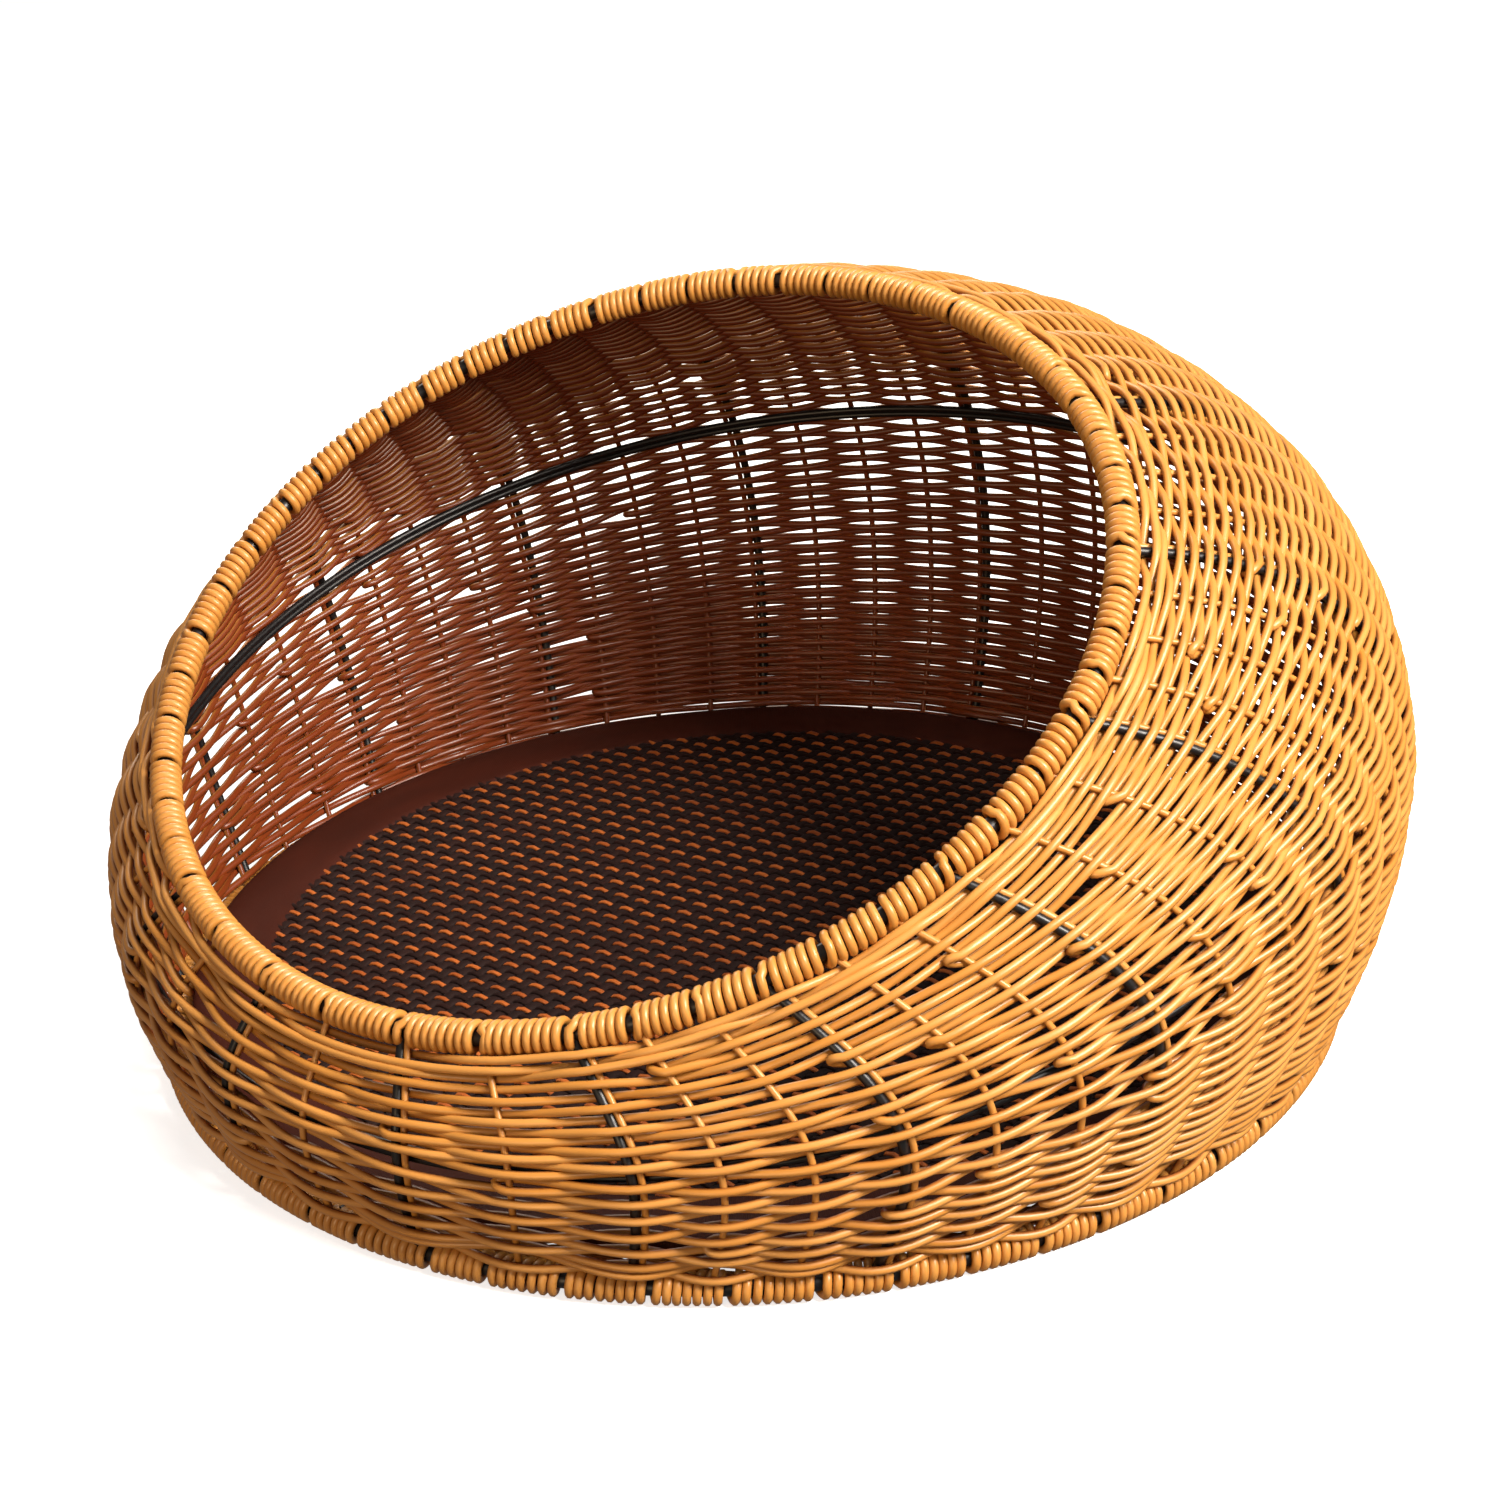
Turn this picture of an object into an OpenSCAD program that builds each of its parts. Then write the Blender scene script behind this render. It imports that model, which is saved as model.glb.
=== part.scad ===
// Oblique-mouthed wicker pet bed: a round woven basket on a wire frame, with a loose woven floor mat.
// Frame: +Z up, the low side of the mouth faces -Y, the floor is z = 0 and the origin is the
// centre of the footprint of the whole basket.

/* [Base] */
// radius of the bottom frame ring, to the middle of its wire
base_r = 230; // [180:1:260]
// height of the bottom ring's wire centre above the floor
base_z = 6; // [4:0.5:12]
// how far the bottom ring's centre lies in front of the origin
base_forward = 6.6; // [0:0.1:20]

/* [Wall shape] */
// largest radius the wall swells to between bottom ring and mouth
belly_r = 248.8; // [200:0.1:300]
// how far the middle of the wall leans back from the straight line between the two rings
sway_back = 30.5; // [0:0.1:60]
// how far the middle of the wall is lifted above the straight line between the two rings
sway_up = 22; // [0:0.1:60]
// thickness of the woven wall: strand, upright, strand
wall_t = 8.8; // [6:0.1:14]

/* [Mouth] */
// radius of the mouth ring along its slope, to the middle of its wire
mouth_r = 180; // [140:1:230]
// width of the mouth ring over its length along the slope
mouth_aspect = 1.065; // [1:0.005:1.15]
// tilt of the mouth towards the front, in degrees
mouth_tilt = 29.2; // [10:0.1:45]
// how far the mouth's centre lies in front of the bottom ring's centre
mouth_forward = 62.9; // [0:0.1:100]
// height of the mouth's centre above the floor
mouth_z = 174; // [120:0.1:240]

/* [Wire frame] */
// wire diameter of the bottom ring and the mouth ring
ring_wire_d = 6; // [4:0.5:8]
// wire diameter of the upright ribs
rib_wire_d = 3.6; // [3:0.1:6]
// turn of the first rib away from the middle of the front
rib_first = 10.3; // [0:0.1:22.5]
// how far the ribs at the sides are turned towards the front, in degrees
rib_crowd = 8; // [0:0.5:12]
// wire diameter of each of the two hoop wires
hoop_wire_d = 3; // [2.5:0.1:6]
// place of the hoop up the wall, 0 at the bottom ring and 1 at the mouth
hoop_place = 0.473; // [0.3:0.001:0.7]
// wire diameter of the two straight bars under the floor
floor_bar_d = 4; // [3:0.1:6]

/* [Whipping] */
// outer diameter of the strand coils wound round the two rings
whip_d = 13; // [10:0.1:18]

/* [Woven floor] */
// radius of the woven floor, tucked into the whipping of the bottom ring
floor_r = 225; // [180:1:250]
// height of the underside of the woven floor
floor_z0 = 3.4; // [2:0.1:6]
// height of the top of the woven floor
floor_z1 = 12.5; // [8:0.1:16]

/* [Mat] */
// outer radius of the loose mat with its bound edge
mat_r = 223; // [180:1:240]
// width of the plain binding round the mat
binding_w = 29; // [15:1:40]
// thickness of the binding
binding_t = 8; // [4:0.1:12]
// thickness of the woven mat inside the binding
panel_t = 4.6; // [2:0.1:8]
// air between the woven floor and the mat
mat_gap = 0.3; // [0.2:0.1:1]

/* [Hidden] */
// number of upright ribs, closer together at the front than at the back
rib_count = 16;
// steps round the mouth, the hoop and the wall
round_steps = 72;
// steps up a rib and up the wall
rib_steps = 16;
wall_steps = 10;
// sides of a swept wire and of the swept whipping
wire_sides = 8;
whip_sides = 12;
// fineness of the turned parts
turn_fn = 96;
// clear distance between a ring's wire and the coils round it
coil_gap = 0.05;
// how far the woven wall stops short of a ring's middle
wall_stop = 5.4;
// inward shift of the hoop wires from the middle of the wall
hoop_in = rib_wire_d / 2 + hoop_wire_d / 2 - 0.2;
// how far the panel reaches into the binding
panel_tuck = 18;
// roundness of the binding's rim
binding_round = 3.4;
// small step used to find the wall's direction
probe = 0.001;
probe_deg = 0.1;

// sine of the wall's swing at its two ends
swing_base = -sqrt(1 - pow(base_r / belly_r, 2));
swing_mouth = sqrt(1 - pow(mouth_r / belly_r, 2));

// radius, tilt, forward shift, height and width factor of the wall's ring at place g
function hump(g) = 4 * g * (1 - g);
function ring_r(g) = belly_r * sqrt(1 - pow(swing_base + (swing_mouth - swing_base) * g, 2));
function ring_tilt(g) = mouth_tilt * g;
function ring_forward(g) = base_forward + mouth_forward * g - sway_back * hump(g);
function ring_z(g) = base_z + (mouth_z - base_z) * g + sway_up * hump(g);
function ring_aspect(g) = 1 + (mouth_aspect - 1) * g;

// point in the middle of the wall: g up the wall, a round it from the front
function wall_mid(g, a) = [
  ring_aspect(g) * ring_r(g) * sin(a),
  -ring_forward(g) - ring_r(g) * cos(a) * cos(ring_tilt(g)),
  ring_z(g) - ring_r(g) * cos(a) * sin(ring_tilt(g))
];
function unit(v) = v / norm(v);
// directions at a point of the wall: round, up and straight out
function way_round(g, a) = unit(wall_mid(g, a + probe_deg) - wall_mid(g, a - probe_deg));
function climb(g, a) = (wall_mid(g + probe, a) - wall_mid(g - probe, a)) / (2 * probe);
function way_out(g, a) = unit(cross(way_round(g, a), climb(g, a)));
function wall_at(g, a, out) = wall_mid(g, a) + out * way_out(g, a);

// circle of points round p, in the plane of u and v
function loop_round(p, u, v, r, n) =
  [for (k = [0 : n - 1]) p + r * (cos(360 * k / n) * u + sin(360 * k / n) * v)];

// closed skin over a row of equal loops; ends are joined or capped
module skin(loops, closed) {
  n = len(loops[0]);
  m = len(loops);
  last = closed ? m - 1 : m - 2;
  sides = [
    for (i = [0 : last], k = [0 : n - 1])
      let (
        a = i * n + k,
        b = i * n + (k + 1) % n,
        c = ((i + 1) % m) * n + (k + 1) % n,
        d = ((i + 1) % m) * n + k
      )
      each [[a, b, c], [a, c, d]]
  ];
  caps = closed ? [] : [
    [for (k = [0 : n - 1]) n - 1 - k],
    [for (k = [0 : n - 1]) (m - 1) * n + k]
  ];
  polyhedron(points = [for (l = loops) each l], faces = concat(sides, caps));
}

// wire of radius r that follows the wall's ring at place g, shifted out and up
module ring_sweep(g, out, up, r, n) {
  skin([
    for (i = [0 : round_steps - 1])
      let (a = 360 * i / round_steps, o = way_out(g, a), t = way_round(g, a))
      loop_round(wall_at(g, a, out) + up * cross(o, t), o, cross(o, t), r, n)
  ], true);
}

module rib(i) {
  turn = rib_first + 360 * (i - 1) / rib_count;
  a = turn - rib_crowd * sin(turn);
  color("#15151a") skin([
    for (j = [0 : rib_steps])
      let (g = j / rib_steps, o = way_out(g, a), t = way_round(g, a))
      loop_round(wall_mid(g, a), t, o, rib_wire_d / 2, wire_sides)
  ], false);
}

module base_ring() {
  color("#15151a") translate([0, -base_forward, base_z])
    rotate_extrude($fn = turn_fn) translate([base_r, 0]) circle(d = ring_wire_d, $fn = 24);
}

module mouth_ring() {
  color("#15151a") ring_sweep(1, 0, 0, ring_wire_d / 2, wire_sides);
}

module hoop_upper_wire() {
  color("#15151a") ring_sweep(hoop_place, -hoop_in, hoop_wire_d / 2, hoop_wire_d / 2, wire_sides);
}

module hoop_lower_wire() {
  color("#15151a") ring_sweep(hoop_place, -hoop_in, -hoop_wire_d / 2, hoop_wire_d / 2, wire_sides);
}

module floor_bar(turn, z) {
  color("#15151a") translate([0, -base_forward, z]) rotate([0, 90, turn])
    cylinder(d = floor_bar_d, h = 2 * base_r, center = true, $fn = 24);
}

module floor_bar_side_to_side() {
  floor_bar(0, base_z);
}

module floor_bar_front_to_back() {
  floor_bar(90, base_z + floor_bar_d - 0.2);
}

module base_whipping() {
  color("#c98d32") translate([0, -base_forward, 0]) rotate_extrude($fn = turn_fn)
    difference() {
      intersection() {
        translate([base_r, base_z]) circle(d = whip_d, $fn = 36);
        translate([base_r - whip_d, 0]) square([2 * whip_d, 2 * whip_d]);
      }
      translate([base_r, base_z]) circle(d = ring_wire_d + 2 * coil_gap, $fn = 24);
    }
}

module mouth_whipping() {
  color("#c98d32") difference() {
    ring_sweep(1, 0, 0, whip_d / 2, whip_sides);
    ring_sweep(1, 0, 0, ring_wire_d / 2 + coil_gap, wire_sides);
  }
}

module woven_wall() {
  color("#d69a3c") skin([
    for (i = [0 : round_steps - 1])
      let (
        a = 360 * i / round_steps,
        g0 = wall_stop / norm(climb(0.01, a)),
        g1 = 1 - wall_stop / norm(climb(0.99, a))
      )
      concat(
        [for (j = [0 : wall_steps]) wall_at(g0 + (g1 - g0) * j / wall_steps, a, wall_t / 2)],
        [for (j = [wall_steps : -1 : 0]) wall_at(g0 + (g1 - g0) * j / wall_steps, a, -wall_t / 2)]
      )
  ], true);
}

module woven_floor() {
  color("#b87d2b") translate([0, -base_forward, floor_z0])
    cylinder(r = floor_r, h = floor_z1 - floor_z0, $fn = turn_fn);
}

module mat_panel() {
  color("#5a2c14") translate([0, -base_forward, floor_z1 + mat_gap + (binding_t - panel_t) / 2])
    cylinder(r = mat_r - binding_w + panel_tuck, h = panel_t, $fn = turn_fn);
}

module mat_binding() {
  color("#2b1208") translate([0, -base_forward, floor_z1 + mat_gap]) rotate_extrude($fn = turn_fn)
    difference() {
      union() {
        translate([mat_r - binding_w, 0]) square([binding_w - binding_round, binding_t]);
        translate([mat_r - binding_round, binding_t / 2])
          scale([binding_round * 2 / binding_t, 1]) circle(d = binding_t, $fn = 24);
      }
      translate([mat_r - binding_w - 1, (binding_t - panel_t) / 2 - coil_gap])
        square([panel_tuck + 1 + coil_gap, panel_t + 2 * coil_gap]);
    }
}

module rib_01() {
  rib(1);
}

module rib_02() {
  rib(2);
}

module rib_03() {
  rib(3);
}

module rib_04() {
  rib(4);
}

module rib_05() {
  rib(5);
}

module rib_06() {
  rib(6);
}

module rib_07() {
  rib(7);
}

module rib_08() {
  rib(8);
}

module rib_09() {
  rib(9);
}

module rib_10() {
  rib(10);
}

module rib_11() {
  rib(11);
}

module rib_12() {
  rib(12);
}

module rib_13() {
  rib(13);
}

module rib_14() {
  rib(14);
}

module rib_15() {
  rib(15);
}

module rib_16() {
  rib(16);
}

/* [View] */
// which sub-part to draw

base_ring();
mouth_ring();
hoop_upper_wire();
hoop_lower_wire();
floor_bar_side_to_side();
floor_bar_front_to_back();
rib_01();
rib_02();
rib_03();
rib_04();
rib_05();
rib_06();
rib_07();
rib_08();
rib_09();
rib_10();
rib_11();
rib_12();
rib_13();
rib_14();
rib_15();
rib_16();
base_whipping();
mouth_whipping();
woven_wall();
woven_floor();
mat_panel();
mat_binding();
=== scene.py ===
import math

import bpy
import numpy as np
from mathutils import Matrix, Vector


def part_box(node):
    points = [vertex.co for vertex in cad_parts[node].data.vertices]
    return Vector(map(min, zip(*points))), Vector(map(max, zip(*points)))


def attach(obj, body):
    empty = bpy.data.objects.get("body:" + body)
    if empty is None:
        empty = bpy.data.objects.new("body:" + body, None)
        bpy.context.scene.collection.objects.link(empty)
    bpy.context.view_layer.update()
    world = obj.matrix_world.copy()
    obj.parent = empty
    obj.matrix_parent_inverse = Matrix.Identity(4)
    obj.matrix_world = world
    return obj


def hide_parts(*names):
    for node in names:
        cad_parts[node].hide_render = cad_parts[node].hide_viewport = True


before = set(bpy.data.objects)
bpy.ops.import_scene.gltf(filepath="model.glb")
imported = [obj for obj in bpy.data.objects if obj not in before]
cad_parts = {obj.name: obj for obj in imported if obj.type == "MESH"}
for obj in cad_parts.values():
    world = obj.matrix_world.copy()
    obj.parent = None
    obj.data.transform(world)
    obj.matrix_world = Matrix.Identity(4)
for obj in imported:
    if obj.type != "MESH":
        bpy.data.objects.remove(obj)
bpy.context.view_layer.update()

# A round pet nest with a slanted mouth, woven from glossy plastic wicker over a black wire frame, with a flat
# woven mat inside.
# Lengths are in millimetres until a mesh is built. Angles run round the nest from its low front lip.

MM = 0.001
TURN = 2 * math.pi
draw = np.random.default_rng(7)

# ---------------------------------------------------------------- sizes

STRAND = 1.55           # half the thickness of a wicker strand in the weave
WHIP_STRAND = 1.62      # and of the one wound round the rims
STAKE = 1.25            # half the thickness of an upright wicker stake
WIRE = 1.8              # half the thickness of a rib
HOOP_WIRE = 1.5         # half the thickness of each hoop wire
FIRST_RIB = math.radians(10.3)
RIB_CROWD = math.radians(8)         # the ribs crowd together towards the front by so much
# Wicker stakes between each rib and the next, starting at the first rib to the right of the front.
BETWEEN = (1, 2, 2, 2, 3, 3, 3, 3, 3, 3, 3, 2, 2, 2, 1, 1)

BELLY = 248.8           # radius of the wall at its fullest
SWAY_BACK = 30.5        # how far the middle of the wall leans back
SWAY_UP = 22.0          # and how far it is lifted
HOOP_AT = 0.473         # where the double hoop runs, as a share of the climb
HOOP_IN = 4.9           # how far inside the middle of the wall it runs

COIL = 4.6              # radius at which the whipping strand winds round a rim wire


def box_mm(node):
    low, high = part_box(node)
    return np.array(low) / MM, np.array(high) / MM


base_low, base_high = box_mm("base_ring")
RIM_WIRE = (base_high[2] - base_low[2]) / 2
BASE_RADIUS = (base_high[0] - base_low[0]) / 2 - RIM_WIRE
BASE_CENTRE = (base_low + base_high) / 2

mouth_low, mouth_high = box_mm("mouth_ring")
mouth_half = (mouth_high - mouth_low) / 2 - RIM_WIRE
MOUTH_CENTRE = (mouth_low + mouth_high) / 2
MOUTH_RADIUS = math.hypot(mouth_half[1], mouth_half[2])
MOUTH_TILT = math.atan2(mouth_half[2], mouth_half[1])
MOUTH_WIDEN = mouth_half[0] / MOUTH_RADIUS - 1

# ---------------------------------------------------------------- shape of the wall

SWING_BASE = -math.sqrt(1 - (BASE_RADIUS / BELLY) ** 2)
SWING_MOUTH = math.sqrt(1 - (MOUTH_RADIUS / BELLY) ** 2)


def unit(v):
    return v / np.linalg.norm(v, axis=-1, keepdims=True)


def wall_point(climb, angle):
    """The middle of the wall: climb runs from 0 at the base rim to 1 at the mouth rim."""
    hump = 4 * climb * (1 - climb)
    swing = SWING_BASE + (SWING_MOUTH - SWING_BASE) * climb
    radius = BELLY * np.sqrt(1 - swing**2)
    tilt = MOUTH_TILT * climb
    back = BASE_CENTRE[1] + (MOUTH_CENTRE[1] - BASE_CENTRE[1]) * climb + SWAY_BACK * hump
    height = BASE_CENTRE[2] + (MOUTH_CENTRE[2] - BASE_CENTRE[2]) * climb + SWAY_UP * hump
    widen = 1 + MOUTH_WIDEN * climb
    return np.stack([
        widen * radius * np.sin(angle),
        back - radius * np.cos(angle) * np.cos(tilt),
        height - radius * np.cos(angle) * np.sin(tilt),
    ], -1)


def wall_axes(climb, angle):
    """Unit directions out of the wall and up along it."""
    step = 1e-3
    onward = wall_point(climb, angle + step) - wall_point(climb, angle - step)
    upward = wall_point(climb + step, angle) - wall_point(climb - step, angle)
    outward = unit(np.cross(onward, upward))
    return outward, unit(np.cross(outward, onward))


# How far up the wall a point lies, measured along the wall, at every angle: the weave is laid out in that.
CLIMB_STEPS = 160
ANGLE_STEPS = 96
GRID_CLIMB = np.linspace(0, 1, CLIMB_STEPS + 1)
GRID_ANGLE = np.arange(ANGLE_STEPS) * TURN / ANGLE_STEPS
_grid = wall_point(GRID_CLIMB[:, None], GRID_ANGLE[None, :])
_run = np.vstack([np.zeros(ANGLE_STEPS), np.cumsum(np.linalg.norm(np.diff(_grid, axis=0), axis=-1), 0)])
WALL_LENGTH = _run[-1]
CLIMB_AT = np.stack([np.interp(GRID_CLIMB, r / r[-1], GRID_CLIMB) for r in _run.T], 1)
HOOP_RUN = np.array([np.interp(HOOP_AT, GRID_CLIMB, r) for r in _run.T])


def grid_place(angle):
    """The grid angles on either side of an angle, and how far it lies from the first to the second."""
    place = (angle / TURN * ANGLE_STEPS) % ANGLE_STEPS
    left = np.floor(place).astype(int) % ANGLE_STEPS
    return left, (left + 1) % ANGLE_STEPS, place - np.floor(place)


def around(table, angle):
    """Reads a value given at the grid angles at any angle."""
    left, right, part = grid_place(angle)
    return table[left] * (1 - part) + table[right] * part


def climb_of(share, angle):
    """Turns a share of the wall's own length into climb."""
    place = np.clip(share, 0, 1) * CLIMB_STEPS
    low = np.minimum(place.astype(int), CLIMB_STEPS - 1)
    part = place - low
    left, right, side = grid_place(angle)
    at_left = CLIMB_AT[low, left] * (1 - part) + CLIMB_AT[low + 1, left] * part
    at_right = CLIMB_AT[low, right] * (1 - part) + CLIMB_AT[low + 1, right] * part
    return at_left * (1 - side) + at_right * side


def on_wall(run, angle, depth):
    """Points at a run in millimetres up the wall, lifted off its middle, and the way out of it there."""
    climb = climb_of(run / around(WALL_LENGTH, angle), angle)
    outward, _ = wall_axes(climb, angle)
    return wall_point(climb, angle) + depth[:, None] * outward, outward


# ---------------------------------------------------------------- building meshes


class Strands:
    """Gathers round strands into one mesh. It keeps coordinates along them in millimetres, a tone for each,
    and how far each point faces into the nest, which is the mask of a painted shade on that face."""

    def __init__(self, name, sides=8):
        self.name, self.sides, self.count = name, sides, 0
        self.points, self.quads, self.fans = [], [], []
        self.quad_uv, self.fan_uv, self.tones, self.inner = [], [], [], []

    def add(self, line, facing, radius, tone=None, closed=False, flat=1.0, two_faced=False):
        n, sides = len(line), self.sides
        ahead = np.roll(line, -1, 0) - np.roll(line, 1, 0)
        if not closed:
            ahead[0], ahead[-1] = line[1] - line[0], line[-1] - line[-2]
        ahead = unit(ahead)
        facing = np.broadcast_to(facing, line.shape)
        up = unit(facing - (facing * ahead).sum(-1, keepdims=True) * ahead)
        side = np.cross(ahead, up)
        turn = TURN * (np.arange(sides) + 0.5) / sides
        ring = flat * np.cos(turn)[None, :, None] * up[:, None] + np.sin(turn)[None, :, None] * side[:, None]
        radius = np.broadcast_to(radius, (n,))
        skin = line[:, None] + radius[:, None, None] * ring
        rows = n if closed else n - 1
        i, k = np.meshgrid(np.arange(rows), np.arange(sides), indexing="ij")
        i, k = i.ravel(), k.ravel()
        j, m = (i + 1) % n, (k + 1) % sides
        start = self.count
        self.quads.append(start + np.stack([i * sides + k, i * sides + m, j * sides + m, j * sides + k], 1))
        steps = np.linalg.norm(np.roll(line, -1, 0) - line, axis=1)
        run = np.concatenate([[0], np.cumsum(steps)])
        across = TURN * float(radius[0]) / sides
        self.quad_uv.append(np.stack([
            np.stack([k * across, run[i]], 1), np.stack([(k + 1) * across, run[i]], 1),
            np.stack([(k + 1) * across, run[i + 1]], 1), np.stack([k * across, run[i + 1]], 1)], 1))
        self.points.append(skin.reshape(-1, 3))
        made = n * sides
        if not closed:
            tips = np.stack([line[0] - ahead[0] * radius[0] * 0.3, line[-1] + ahead[-1] * radius[-1] * 0.3])
            self.points.append(tips)
            k = np.arange(sides)
            m = (k + 1) % sides
            last = (n - 1) * sides
            self.fans.append(start + np.stack([np.full(sides, made), m, k], 1))
            self.fans.append(start + np.stack([np.full(sides, made + 1), last + k, last + m], 1))
            for end in (0.0, run[n - 1]):
                self.fan_uv.append(np.stack([
                    np.stack([k * across, np.full(sides, end)], 1)] * 3, 1))
            made += 2
        self.tones.append(np.full(made, draw.random() if tone is None else tone))
        # The face that looks into the nest is marked here for the painted inner shade.
        inner = np.zeros(made)
        if two_faced:
            inner[:n * sides] = np.tile(0.5 - 0.5 * np.cos(turn), n)
        self.inner.append(inner)
        self.count += made

    def build(self, material):
        points = np.concatenate(self.points) * MM
        quads = np.concatenate(self.quads)
        fans = np.concatenate(self.fans) if self.fans else np.zeros((0, 3), int)
        uv = [np.concatenate(self.quad_uv).reshape(-1, 2)]
        if self.fans:
            uv.append(np.concatenate(self.fan_uv).reshape(-1, 2))
        mesh = mesh_of(self.name, points, [quads, fans], np.concatenate(uv))
        for name, values in (("tone", self.tones), ("inner_shade_mask", self.inner)):
            mesh.attributes.new(name, "FLOAT", "POINT").data.foreach_set(
                "value", np.concatenate(values).astype(np.float32))
        return show(mesh, material)


def mesh_of(name, points, faces, uv=None):
    """A smooth mesh from points in metres and arrays of quads and triangles."""
    mesh = bpy.data.meshes.new(name)
    faces = [f for f in faces if len(f)]
    corners = np.concatenate([f.ravel() for f in faces])
    sizes = np.concatenate([np.full(len(f), f.shape[1]) for f in faces])
    mesh.vertices.add(len(points))
    mesh.vertices.foreach_set("co", np.asarray(points, np.float32).ravel())
    mesh.loops.add(len(corners))
    mesh.loops.foreach_set("vertex_index", corners.astype(np.int32))
    mesh.polygons.add(len(sizes))
    mesh.polygons.foreach_set("loop_start", np.concatenate([[0], np.cumsum(sizes)[:-1]]).astype(np.int32))
    if uv is not None:
        layer = mesh.uv_layers.new(name="strand_mm")
        layer.data.foreach_set("uv", np.asarray(uv, np.float32).ravel())
    mesh.update(calc_edges=True)
    mesh.shade_smooth()
    return mesh


def show(mesh, material):
    piece = bpy.data.objects.new(mesh.name, mesh)
    bpy.context.scene.collection.objects.link(piece)
    mesh.materials.append(material)
    return piece


def smooth_through(knots, steps, closed):
    """A smooth run through the knots, with so many steps from each to the next."""
    if closed:
        before, here, after, beyond = (np.roll(knots, k) for k in (1, 0, -1, -2))
    else:
        longer = np.concatenate([[2 * knots[0] - knots[1]], knots, [2 * knots[-1] - knots[-2]]])
        before, here, after, beyond = longer[:-3], longer[1:-2], longer[2:-1], longer[3:]
    t = (np.arange(steps) / steps)[None, :]
    before, here, after, beyond = (x[:, None] for x in (before, here, after, beyond))
    line = here + 0.5 * t * (after - before + t * (
        2 * before - 5 * here + 4 * after - beyond + t * (3 * (here - after) + beyond - before)))
    return line.ravel() if closed else np.append(line.ravel(), knots[-1])


def swing_through(knots, steps, closed):
    """A run that swings from knot to knot, level at each."""
    nxt = np.roll(knots, -1) if closed else knots[1:]
    here = knots if closed else knots[:-1]
    t = (np.arange(steps) / steps)[None, :]
    mix = (1 - np.cos(math.pi * t)) / 2
    line = here[:, None] * (1 - mix) + nxt[:, None] * mix
    return line.ravel() if closed else np.append(line.ravel(), knots[-1])


# ---------------------------------------------------------------- the weave of the wall


def place_uprights():
    """Angles of the ribs and of the wicker stakes between them, and which of them are ribs."""
    turn = FIRST_RIB + TURN * np.arange(len(BETWEEN) + 1) / len(BETWEEN)
    ribs = turn - RIB_CROWD * np.sin(turn)
    angles = [np.linspace(here, there, count + 2)[:-1]
              for here, there, count in zip(ribs, ribs[1:], BETWEEN)]
    return np.concatenate(angles), np.concatenate([np.arange(count + 1) == 0 for count in BETWEEN])


STAKE_ANGLES, IS_RIB = place_uprights()
STAKES = len(STAKE_ANGLES)
HALF_UPRIGHT = np.where(IS_RIB, WIRE, STAKE)
BESIDE_RIB = math.radians(0.75)     # how far a rib's own wicker stake stands from it
PER_STAKE = 8           # steps of a strand from one upright to the next
FOOT, LIP = 12.6, 15.4  # what the rows beside the two rims take up
HOOP_SLIT = 1.2         # the slit that the hoop leaves between rows
PRESS = 0.6             # how far a strand presses into the upright it passes
ROW_WANDER = 0.22       # how unevenly a row lies, up or down
DEPTH_WANDER = 0.05     # and in or out, as a share of its reach

ROW_PITCH = 2.48        # the least row spacing, before what is added or taken away:
PITCH_FRONT = 0.95      # more at the front
PITCH_BACK = 0.4        # more at the back
PITCH_LEFT = 0.22       # less on the left, to close its slits

GOLDEN = 0.618034       # spreads the short pairs evenly over the height
SMOOTHING_ROUNDS = 40   # rounds of evening out the rows

RIM_ROWS, RIM_ROWS_FROM, RIM_ROWS_PITCH = 3, 8.4, 2.8       # long strands under the mouth rim
FOOT_ROWS, FOOT_ROWS_FROM, FOOT_ROWS_PITCH = 2, 7.9, 2.9    # and over the base rim


def frontness(angle):
    """1 at the front, 0 at the back."""
    return 0.5 + 0.5 * np.cos(angle)


def pitch_at(angle):
    """Row spacing: loosest at the front, looser at the back than at the sides, and closer on the left."""
    front = frontness(angle)
    return (ROW_PITCH + PITCH_FRONT * front**3 + PITCH_BACK * (1 - front) ** 2
            - PITCH_LEFT * np.clip(-np.sin(angle), 0, 1))


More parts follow.
